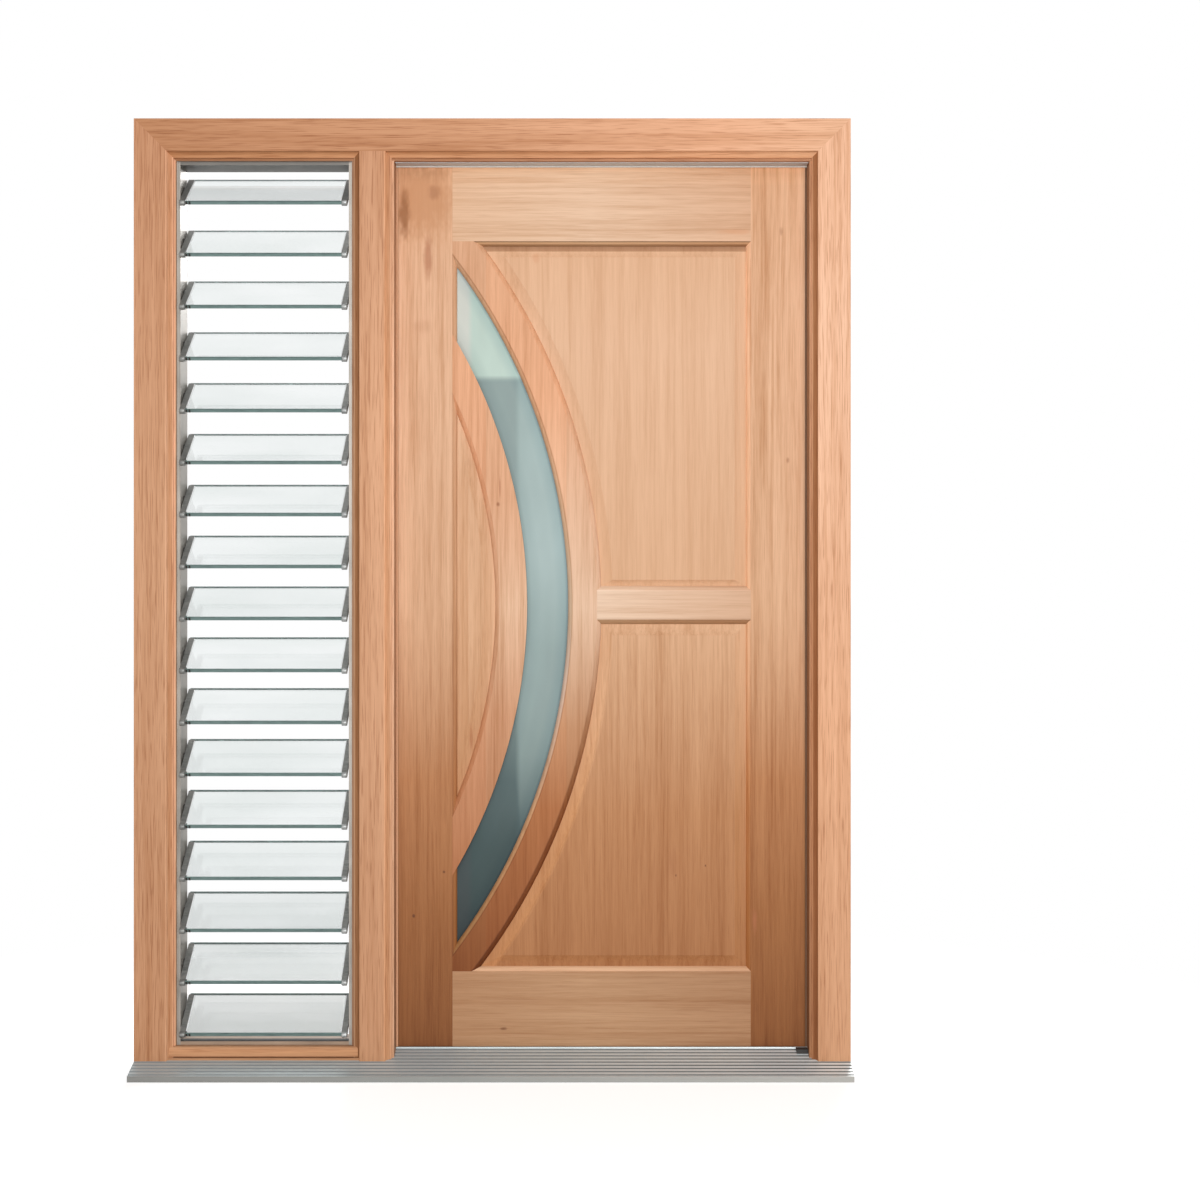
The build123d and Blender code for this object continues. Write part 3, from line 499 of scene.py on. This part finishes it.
def groundFinish(look, row):
    finish, tree, shader = startFinish("blade_ground_edge")
    place = addNode(tree, "ShaderNodeTexCoord").outputs["Object"]
    across = (0, -math.sin(row["tilt"]), math.cos(row["tilt"]))
    middle = row["first"] * across[2] + row["depth"] * across[1]
    span = (look["rows"] + 0.5) * row["pitch"] * across[2]
    level = vectorCalc(tree, "DOT_PRODUCT", place, across)
    level = calc(tree, "FRACT", spread(tree, level, middle - span, middle + span, 0, 2 * look["rows"] + 1))
    paintedArrisLines = colourRun(tree, level, [(at, grey(share)) for at, share in look["paintedArrisLines"]])
    chips = cloud(tree, place, look["chips"], 3.0, 0.6)
    share = calc(tree, "MULTIPLY", paintedArrisLines, spread(tree, chips, 0.3, 0.7, *look["chipShare"]))
    colour = blendColour(tree, share, screenColour(look["dark"]), screenColour(look["light"]))
    tree.links.new(colour, shader.inputs["Base Color"])
    tree.links.new(spread(tree, chips, 0.3, 0.7, *look["rough"]), shader.inputs["Roughness"])
    return finish


# Metals, brushed along "run"
metalLooks = {
    "gallery": {"dark": (114, 109, 102), "light": (161, 154, 145), "run": (220, 220, 1.5), "metal": 0.55,
                "rough": (0.34, 0.50)},
    "headRun": {"dark": (84, 81, 77), "light": (120, 116, 110), "run": (1.5, 220, 220), "metal": 0.4,
                "rough": (0.4, 0.55)},
    "footRun": {"dark": (128, 108, 90), "light": (168, 144, 122), "run": (1.5, 220, 220), "metal": 0.2,
                "rough": (0.45, 0.6)},
    "toe": {"dark": (128, 130, 130), "light": (176, 178, 176), "run": (90, 200, 200), "metal": 0.4,
            "rough": (0.3, 0.45)},
    "clip": {"dark": (100, 101, 99), "light": (150, 150, 146), "run": (60, 260, 60), "metal": 0.55,
             "rough": (0.34, 0.52)},
    "hinge": {"dark": (140, 140, 140), "light": (186, 186, 184), "run": (300, 300, 4), "metal": 0.9,
              "rough": (0.24, 0.38)},
    "screw": {"dark": (150, 150, 148), "light": (192, 192, 190), "run": (500, 500, 500), "metal": 0.9,
              "rough": (0.22, 0.34)},
    "bloom": (16, 16, 16),  # dull patches on all of them
    "shares": (0.6, 0.4),  # brush and bloom
    "bump": (0.15, 0.0002),
}


def metalFinish(name, kind):
    finish, tree, shader = startFinish(name)
    look = metalLooks[kind]
    place = addNode(tree, "ShaderNodeTexCoord").outputs["Object"]
    brush = cloud(tree, place, look["run"], 3.0, 0.6)
    bloom = cloud(tree, place, metalLooks["bloom"], 3.0)
    brushShare, bloomShare = metalLooks["shares"]
    mixed = calc(tree, "MULTIPLY_ADD", brush, brushShare, calc(tree, "MULTIPLY", bloom, bloomShare))
    colour = colourRun(tree, mixed, [(0.32, screenColour(look["dark"])), (0.68, screenColour(look["light"]))])
    tree.links.new(colour, shader.inputs["Base Color"])
    tree.links.new(spread(tree, brush, 0.3, 0.7, *look["rough"]), shader.inputs["Roughness"])
    roughen(tree, shader, brush, *metalLooks["bump"])
    shader.inputs["Metallic"].default_value = look["metal"]
    return finish


galleryFinish = metalFinish("gallery_satin_aluminium", "gallery")
clipFinish = metalFinish("clip_satin_aluminium", "clip")
toeFinish = metalFinish("toe_satin_aluminium", "toe")
hingeFinish = metalFinish("hinge_satin_steel", "hinge")
screwFinish = metalFinish("screw_bright_steel", "screw")
for side in ("left", "right"):
    dress("louvre_channel_" + side, galleryFinish)
    dress("louvre_clips_" + side, clipFinish)
dress("louvre_channel_head", metalFinish("head_channel_aluminium", "headRun"))
dress("louvre_channel_foot", metalFinish("foot_channel_aluminium", "footRun"))
for half in ("frame", "leaf"):
    dress(f"hinge_{half}_plates", hingeFinish)

# Sill: mill finish ribs, with painted highlights on the crests and painted shade in the grooves, brighter and
# crisper under the leaf
sillLook = {
    "nose": -0.067,
    "barFront": 0.060,
    "ribs": 9,
    # painted highlights on the crests and painted shade in the grooves, stronger to the right
    "plain": [(-0.79, (192, 200, 201)), (-0.1, (206, 217, 219)), (0.79, (246, 254, 255))],
    "shade": [(-0.79, (122, 128, 130)), (-0.1, (88, 94, 96)), (0.79, (24, 27, 29))],
    "groove": (0.12, 0.22),  # half of a groove's width, as a share of the rib's pitch
    "noseTint": (0.435, 0.395, 0.365),  # the front edge is duller
    "noseEdge": (0.0002, 0.0008),
    "backTint": (0.46, 0.44, 0.43),  # from the weather bar back the metal is left grey
    "backEdge": (-0.0002, 0.0008),
    "brush": (1.2, 700, 700),
    "scuff": (9, 30, 30),
    "wear": [(0.3, grey(0.88)), (0.7, grey(1.05))],
    "rough": (0.50, 0.32),
    "bump": (0.15, 0.0002),
    "metal": 0.22,
}


def sillFinish(look):
    finish, tree, shader = startFinish("sill_mill_aluminium")
    place = addNode(tree, "ShaderNodeTexCoord").outputs["Object"]
    axes = addNode(tree, "ShaderNodeSeparateXYZ", {0: place}).outputs
    step = calc(tree, "FRACT", spread(tree, axes["Y"], look["nose"], look["barFront"], 0, look["ribs"]))
    hollow = calc(tree, "ABSOLUTE", calc(tree, "SUBTRACT", step, 0.5))
    groove = spread(tree, hollow, *look["groove"], 1.0, 0.0, "SMOOTHSTEP")
    brush = cloud(tree, place, look["brush"], 3.0, 0.6)
    scuff = cloud(tree, place, look["scuff"], 4.0, 0.6)
    tones = [toneRun(tree, axes["X"], look[tone]) for tone in ("plain", "shade")]
    colour = blendColour(tree, groove, *tones)
    start, end = [look["nose"] + edge for edge in look["noseEdge"]]
    colour = tinted(tree, colour, toneRun(tree, axes["Y"], [(start, look["noseTint"]), (end, plain)], opaque))
    start, end = [look["barFront"] + edge for edge in look["backEdge"]]
    colour = tinted(tree, colour, toneRun(tree, axes["Y"], [(start, plain), (end, look["backTint"])], opaque))
    wear = calc(tree, "MULTIPLY_ADD", brush, 0.5, calc(tree, "MULTIPLY", scuff, 0.5))
    colour = tinted(tree, colour, colourRun(tree, wear, look["wear"]))
    tree.links.new(colour, shader.inputs["Base Color"])
    tree.links.new(spread(tree, wear, 0.3, 0.7, *look["rough"]), shader.inputs["Roughness"])
    roughen(tree, shader, brush, *look["bump"])
    shader.inputs["Metallic"].default_value = look["metal"]
    return finish


dress("sill", sillFinish(sillLook))

# Rubber and nylon
rubberLooks = {
    # painted light: near white at the head where light shows through the gap; down the sides tinted like the timber
    # on the left and painted shade on the right
    "seal": {"dark": (232, 231, 224), "light": (250, 248, 242), "run": (260, 260, 260), "rough": (0.55, 0.75),
             "below": (2.0142, 2.0146),  # pale above, at the head
             "sides": [(-0.22, (214, 160, 122)), (0.70, (112, 78, 52))]},
    "liner": {"dark": (238, 240, 240), "light": (250, 251, 251), "run": (200, 200, 200), "rough": (0.35, 0.5)},
    "strip": {"dark": (186, 188, 188), "light": (214, 216, 216), "run": (90, 400, 400), "rough": (0.5, 0.7)},
    "pad": {"dark": (26, 24, 22), "light": (52, 48, 44), "run": (420, 420, 420), "rough": (0.6, 0.8)},
    "bump": (0.2, 0.0003),
}


def rubberFinish(name, kind):
    finish, tree, shader = startFinish(name)
    look = rubberLooks[kind]
    place = addNode(tree, "ShaderNodeTexCoord").outputs["Object"]
    speck = cloud(tree, place, look["run"], 3.0, 0.6)
    colour = colourRun(tree, speck, [(0.3, screenColour(look["dark"])), (0.7, screenColour(look["light"]))])
    if "below" in look:
        axes = addNode(tree, "ShaderNodeSeparateXYZ", {0: place}).outputs
        lower = spread(tree, axes["Z"], *look["below"], 1.0, 0.0)
        colour = blendColour(tree, lower, colour, toneRun(tree, axes["X"], look["sides"]))
    tree.links.new(colour, shader.inputs["Base Color"])
    tree.links.new(spread(tree, speck, 0.3, 0.7, *look["rough"]), shader.inputs["Roughness"])
    roughen(tree, shader, speck, *rubberLooks["bump"])
    return finish


stripFinish = rubberFinish("draught_strip_grey", "strip")
linerFinish = rubberFinish("liner_white_nylon", "liner")
padFinish = rubberFinish("pad_black_rubber", "pad")
dress("weather_seal", rubberFinish("seal_rubber_painted_light", "seal"))
print("metals and rubber dressed")


# Modelling helpers
def pickFaces(piece, wanted):  # in edit mode, select the faces that the test wants
    mesh = bmesh.from_edit_mesh(piece.data)
    for face in mesh.faces:
        face.select_set(wanted(face.calc_center_median(), face.normal))
    mesh.select_flush_mode()
    bmesh.update_edit_mesh(piece.data)


def turnAndApply(piece, turn=(0, 0, 0), place=(0, 0, 0)):
    bpy.ops.object.select_all(action="DESELECT")
    piece.select_set(True)
    bpy.context.view_layer.objects.active = piece
    piece.rotation_euler = turn
    piece.location = place
    bpy.ops.object.transform_apply(location=True, rotation=True, scale=True)


def copyTo(piece, places, name):  # one copy at each place, joined in one mesh
    copies = []
    for place in places:
        bpy.ops.object.select_all(action="DESELECT")
        piece.select_set(True)
        bpy.context.view_layer.objects.active = piece
        bpy.ops.object.duplicate(linked=False)
        copies.append(bpy.context.active_object)
        turnAndApply(copies[-1], place=place)
    bpy.data.objects.remove(piece)
    bpy.ops.object.select_all(action="DESELECT")
    for each in copies:
        each.select_set(True)
    bpy.context.view_layer.objects.active = copies[0]
    bpy.ops.object.join()
    joined = bpy.context.active_object
    joined.name = name
    joined.data.name = name
    return joined


def makeBar(size, face, bevel, segments, shift=(0, 0, 0)):  # a block bevelled round one face, then moved
    bpy.ops.object.select_all(action="DESELECT")
    bpy.ops.mesh.primitive_cube_add(size=1)
    bar = bpy.context.active_object
    bpy.ops.object.mode_set(mode="EDIT")
    bpy.ops.transform.resize(value=size)
    pickFaces(bar, lambda centre, normal: normal.dot(face) > 0.9)
    bpy.ops.mesh.bevel(offset=bevel, segments=segments, affect="EDGES")
    bpy.ops.mesh.select_all(action="SELECT")
    bpy.ops.transform.translate(value=shift)
    bpy.ops.object.mode_set(mode="OBJECT")
    return bar


def finishPiece(piece, finish, body):
    piece.data.materials.clear()
    piece.data.materials.append(finish)
    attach(piece, body)
    print("made", piece.name)


hingeHeights = (0.296, 1.0365, 1.777)

# Countersunk screws in the hinge plates
screwLook = {
    "radius": 0.0041,
    "rise": 0.00012,  # head above the plate
    "body": 0.0016,
    "slot": 0.0009,
    "slotDepth": 0.0008,
    "paintedEdgeShade": 0.0006,
    "slotReach": 0.86,  # share of the radius
    "rows": ((-0.036, 0.104), (0.0, 0.098), (0.036, 0.104)),  # up the plate, depth
    "framePlate": 0.7130,
    "leafPlate": 0.7125,
}


def makeScrew(look):
    bpy.ops.object.select_all(action="DESELECT")
    bpy.ops.mesh.primitive_cylinder_add(vertices=24, radius=look["radius"], depth=look["body"])
    screw = bpy.context.active_object
    top = look["body"] / 2
    bpy.ops.object.mode_set(mode="EDIT")
    pickFaces(screw, lambda centre, normal: normal.z > 0.9)
    bpy.ops.mesh.inset(thickness=look["paintedEdgeShade"], depth=0)
    for axis in ((1, 0, 0), (0, 1, 0)):
        for edge in (-0.5, 0.5):
            bpy.ops.mesh.select_all(action="SELECT")
            bpy.ops.mesh.bisect(plane_co=[a * edge * look["slot"] for a in axis], plane_no=axis)
    half = look["slot"] / 2
    pickFaces(screw, lambda centre, normal: normal.z > 0.9 and centre.length < look["radius"] * look["slotReach"]
              and (abs(centre.x) < half or abs(centre.y) < half))
    bpy.ops.mesh.extrude_region_move(TRANSFORM_OT_translate={"value": (0, 0, -look["slotDepth"])})
    bpy.ops.mesh.select_all(action="SELECT")
    bpy.ops.transform.translate(value=(0, 0, look["rise"] - top))
    bpy.ops.object.mode_set(mode="OBJECT")
    return screw


for half, seat, turn in (("frame", "framePlate", -math.pi / 2), ("leaf", "leafPlate", math.pi / 2)):
    screw = makeScrew(screwLook)
    turnAndApply(screw, turn=(0, turn, 0))
    spots = [(screwLook[seat], depth, height + up) for height in hingeHeights for up, depth in screwLook["rows"]]
    finishPiece(copyTo(screw, spots, f"hinge_{half}_screws"), screwFinish, half)

# Button caps on the hinge pins
capLook = {
    "axis": (0.71275, 0.1243),
    "radius": 0.0056,
    "rise": 0.0032,
    "stack": 0.050,  # half of the knuckles' height
    "dome": 0.75,  # rounded share of the rise
}


def makeCap(look, side):
    bpy.ops.object.select_all(action="DESELECT")
    bpy.ops.mesh.primitive_cylinder_add(vertices=24, radius=look["radius"], depth=look["rise"])
    cap = bpy.context.active_object
    bpy.ops.object.mode_set(mode="EDIT")
    pickFaces(cap, lambda centre, normal: normal.z * side > 0.9)
    bpy.ops.mesh.bevel(offset=look["rise"] * look["dome"], segments=4, affect="EDGES")
    bpy.ops.mesh.select_all(action="SELECT")
    bpy.ops.transform.translate(value=(0, 0, side * (look["stack"] + look["rise"] / 2)))
    bpy.ops.object.mode_set(mode="OBJECT")
    bpy.ops.object.shade_smooth_by_angle(angle=math.radians(35))
    return cap


for side, word in ((1, "upper"), (-1, "lower")):
    spots = [(*capLook["axis"], height) for height in hingeHeights]
    caps = copyTo(makeCap(capLook, side), spots, f"hinge_{word}_caps")
    finishPiece(caps, hingeFinish, "frame")

# Rubber washers on the blade pivots, between clip and channel
washerLook = {
    "outer": 0.0102,
    "bore": 0.0074,
    "thickness": 0.0016,
    "left": -0.691,
    "right": -0.320,
}
pivotHeights = [bladeRow["first"] - n * bladeRow["pitch"] for n in range(bladeRow["count"])]


def makeWasher(look):
    bpy.ops.object.select_all(action="DESELECT")
    bpy.ops.mesh.primitive_cylinder_add(vertices=20, radius=look["outer"], depth=look["thickness"])
    washer = bpy.context.active_object
    bpy.ops.object.mode_set(mode="EDIT")
    pickFaces(washer, lambda centre, normal: abs(normal.z) > 0.9)
    bpy.ops.mesh.inset(thickness=look["outer"] - look["bore"], depth=0)
    bpy.ops.mesh.bridge_edge_loops()
    bpy.ops.object.mode_set(mode="OBJECT")
    return washer


for side in ("left", "right"):
    washer = makeWasher(washerLook)
    turnAndApply(washer, turn=(0, math.pi / 2, 0))
    spots = [(washerLook[side], bladeRow["depth"], height) for height in pivotHeights]
    finishPiece(copyTo(washer, spots, f"pivot_washers_{side}"), padFinish, "frame")

# Black rubber buffers on the front edge of each blade, near its left clip; their dark also stands in for painted
# shade at the blade ends
shadeBufferLook = {
    "size": (0.0042, 0.0024, 0.0074),
    "round": 0.0005,
    "lefts": (-0.6755, -0.6690),
}
toFront, upwards = (0, -1, 0), (0, 0, 1)
edgeReach = bladeRow["reach"] * math.cos(bladeRow["tilt"])
edgeDrop = bladeRow["reach"] * math.sin(bladeRow["tilt"])
edgeY = bladeRow["depth"] - edgeReach
shadeBuffer = makeBar(shadeBufferLook["size"], toFront, shadeBufferLook["round"], 2)
turnAndApply(shadeBuffer, turn=(bladeRow["tilt"], 0, 0))
spots = [(x, edgeY, height - edgeDrop) for height in pivotHeights for x in shadeBufferLook["lefts"]]
finishPiece(copyTo(shadeBuffer, spots, "blade_shade_buffers"), padFinish, "frame")

# Ground edges: a bevelled bar along the front and the rear of each blade
edgeLook = {
    "left": -0.6873,
    "right": -0.3237,
    "height": 0.0079,
    "deep": 0.0028,
    "proud": 0.0003,
    "arris": 0.0007,
}
groundEdge = groundFinish(groundLook, bladeRow)
middle = (edgeLook["left"] + edgeLook["right"]) / 2
edgeSize = (edgeLook["right"] - edgeLook["left"], edgeLook["deep"], edgeLook["height"])
edgeShift = (0, edgeLook["deep"] / 2 - edgeLook["proud"], 0)
for word, turn, side in (("front", 0, -1), ("rear", math.pi, 1)):
    edge = makeBar(edgeSize, toFront, edgeLook["arris"], 1, edgeShift)
    turnAndApply(edge, turn=(bladeRow["tilt"] + turn, 0, 0))
    depth = bladeRow["depth"] + side * edgeReach
    spots = [(middle, depth, height + side * edgeDrop) for height in pivotHeights]
    finishPiece(copyTo(edge, spots, f"blade_{word}_edges"), groundEdge, "frame")

# White nylon liners beside the clips, on the upper face of each blade
linerLook = {
    "size": (0.0024, 0.112, 0.0009),
    "round": 0.00054,
    "sunk": 0.0001,  # into the glass
    "left": -0.6767,
    "right": -0.3343,
}
linerShift = (0, 0, bladeRow["half"] + linerLook["size"][2] / 2 - linerLook["sunk"])
for side in ("left", "right"):
    liner = makeBar(linerLook["size"], upwards, linerLook["round"], 2, linerShift)
    turnAndApply(liner, turn=(bladeRow["tilt"], 0, 0))
    spots = [(linerLook[side], bladeRow["depth"], height) for height in pivotHeights]
    finishPiece(copyTo(liner, spots, f"clip_liners_{side}"), linerFinish, "frame")

# Rounded toes at the front ends of the clips
toeLook = {
    "radius": 0.0066,
    "length": 0.0125,
    "round": 0.0022,
    "left": -0.6850,
    "right": -0.3270,
}


def makeToe(look):
    bpy.ops.object.select_all(action="DESELECT")
    bpy.ops.mesh.primitive_cylinder_add(vertices=20, radius=look["radius"], depth=look["length"])
    toe = bpy.context.active_object
    bpy.ops.object.mode_set(mode="EDIT")
    pickFaces(toe, lambda centre, normal: abs(normal.z) > 0.9)
    bpy.ops.mesh.bevel(offset=look["round"], segments=3, affect="EDGES")
    bpy.ops.object.mode_set(mode="OBJECT")
    bpy.ops.object.shade_smooth_by_angle(angle=math.radians(35))
    return toe


for side, finish in (("left", clipFinish), ("right", toeFinish)):
    toe = makeToe(toeLook)
    turnAndApply(toe, turn=(0, math.pi / 2, 0))
    spots = [(toeLook[side], edgeY, height - edgeDrop) for height in pivotHeights]
    finishPiece(copyTo(toe, spots, f"clip_toes_{side}"), finish, "frame")

# Ribbed strips: on the foot channel, under the head and on the sill's right corner
stripLooks = {
    "foot_gasket": {"low": (-0.691, 0.026, 0.0700), "high": (-0.320, 0.046, 0.0716), "ribs": 4, "depth": 0.0007,
                    "face": 1, "finish": padFinish},
    "head_draught_strip": {"low": (-0.2170, 0.0310, 2.0172), "high": (0.6990, 0.0650, 2.0190), "ribs": 5,
                           "depth": 0.0006, "face": -1, "finish": stripFinish},
    # the black corner pad also stands in for painted shade where the stop ends above the sill
    "sill_corner_shade_pad": {"low": (0.674, 0.034, 0.0400), "high": (0.699, 0.058, 0.0496), "ribs": 3, "depth": 0.0006,
                        "face": 1, "finish": padFinish},
}


def makeStrip(name, look):
    bpy.ops.object.select_all(action="DESELECT")
    bpy.ops.mesh.primitive_cube_add(size=1)
    strip = bpy.context.active_object
    strip.name = name
    strip.data.name = name
    size = [h - l for l, h in zip(look["low"], look["high"])]
    bpy.ops.object.mode_set(mode="EDIT")
    bpy.ops.transform.resize(value=size)
    bpy.ops.transform.translate(value=[(l + h) / 2 for l, h in zip(look["low"], look["high"])])
    cuts = 2 * look["ribs"] + 1
    for n in range(1, cuts):
        bpy.ops.mesh.select_all(action="SELECT")
        bpy.ops.mesh.bisect(plane_co=(0, look["low"][1] + size[1] * n / cuts, 0), plane_no=(0, 1, 0))
    start, wide = look["low"][1], size[1] / cuts
    pickFaces(strip, lambda centre, normal: normal.z * look["face"] > 0.9
              and int((centre.y - start) / wide) % 2 == 1)
    bpy.ops.mesh.extrude_region_move(TRANSFORM_OT_translate={"value": (0, 0, -look["face"] * look["depth"])})
    bpy.ops.object.mode_set(mode="OBJECT")
    return strip


for stripName, look in stripLooks.items():
    finishPiece(makeStrip(stripName, look), look["finish"], "frame")

# Stage: pale floor that fades into a white surround, soft boxes
floorLook = {
    "radius": 2.4,
    "fade": (0.95, 2.2),
    "colour": 0.78,
    "rough": 0.9,
    "lift": 0.60,  # to white, only for what the camera sees
}
surroundLook = {"seen": 1.0, "ambient": 0.26}
bpy.ops.object.select_all(action="DESELECT")
bpy.ops.mesh.primitive_circle_add(vertices=96, radius=floorLook["radius"], fill_type="NGON", location=(0, 0, 0))
floor = bpy.context.active_object
floor.name = "pale_floor"
floorFinish, tree, shader = startFinish("pale_floor")
place = addNode(tree, "ShaderNodeTexCoord").outputs["Object"]
shader.inputs["Base Color"].default_value = grey(floorLook["colour"])
shader.inputs["Roughness"].default_value = floorLook["rough"]
shader.inputs["Emission Color"].default_value = grey(1.0)
tree.links.new(calc(tree, "MULTIPLY", seenRays(tree), floorLook["lift"]), shader.inputs["Emission Strength"])
clear = addNode(tree, "ShaderNodeBsdfTransparent")
away = spread(tree, vectorCalc(tree, "LENGTH", place), *floorLook["fade"], ease="SMOOTHSTEP")
join = addNode(tree, "ShaderNodeMixShader", {0: away, 1: shader.outputs[0], 2: clear.outputs[0]})
tree.links.new(join.outputs[0], tree.nodes["Material Output"].inputs["Surface"])
floor.data.materials.append(floorFinish)

surround = bpy.data.worlds.new("white_surround")
scene.world = surround
surround.use_nodes = True
tree = surround.node_tree
ambient = tree.nodes["Background"]
ambient.inputs["Color"].default_value = grey(1.0)
ambient.inputs["Strength"].default_value = surroundLook["ambient"]
white = addNode(tree, "ShaderNodeBackground", {"Color": grey(1.0), "Strength": surroundLook["seen"]})
join = addNode(tree, "ShaderNodeMixShader", {0: seenRays(tree), 1: ambient.outputs[0], 2: white.outputs[0]})
tree.links.new(join.outputs[0], tree.nodes["World Output"].inputs["Surface"])

lampLooks = {
    "topSoftbox": {"place": (0.2, -6.4, 4.6), "aim": (0.0, 0.0, 1.0), "size": 3.0, "power": 138},
    "frontSoftbox": {"place": (0.5, -7.0, 1.25), "aim": (0.0, 0.0, 1.0), "size": 3.0, "power": 248},
    "backSoftbox": {"place": (0.5, 4.6, 3.8), "aim": (0.0, 0.0, 1.0), "size": 3.0, "power": 220},
}
for lampName, look in lampLooks.items():
    toAim = [a - p for a, p in zip(look["aim"], look["place"])]
    flat = math.hypot(toAim[0], toAim[1])
    turn = (math.atan2(flat, -toAim[2]), 0, math.atan2(toAim[1], toAim[0]) - math.pi / 2)
    bpy.ops.object.light_add(type="AREA", location=look["place"], rotation=turn)
    lamp = bpy.context.active_object
    lamp.name = lampName
    lamp.data.shape = "SQUARE"
    lamp.data.size = look["size"]
    lamp.data.energy = look["power"]
print("stage and light set")
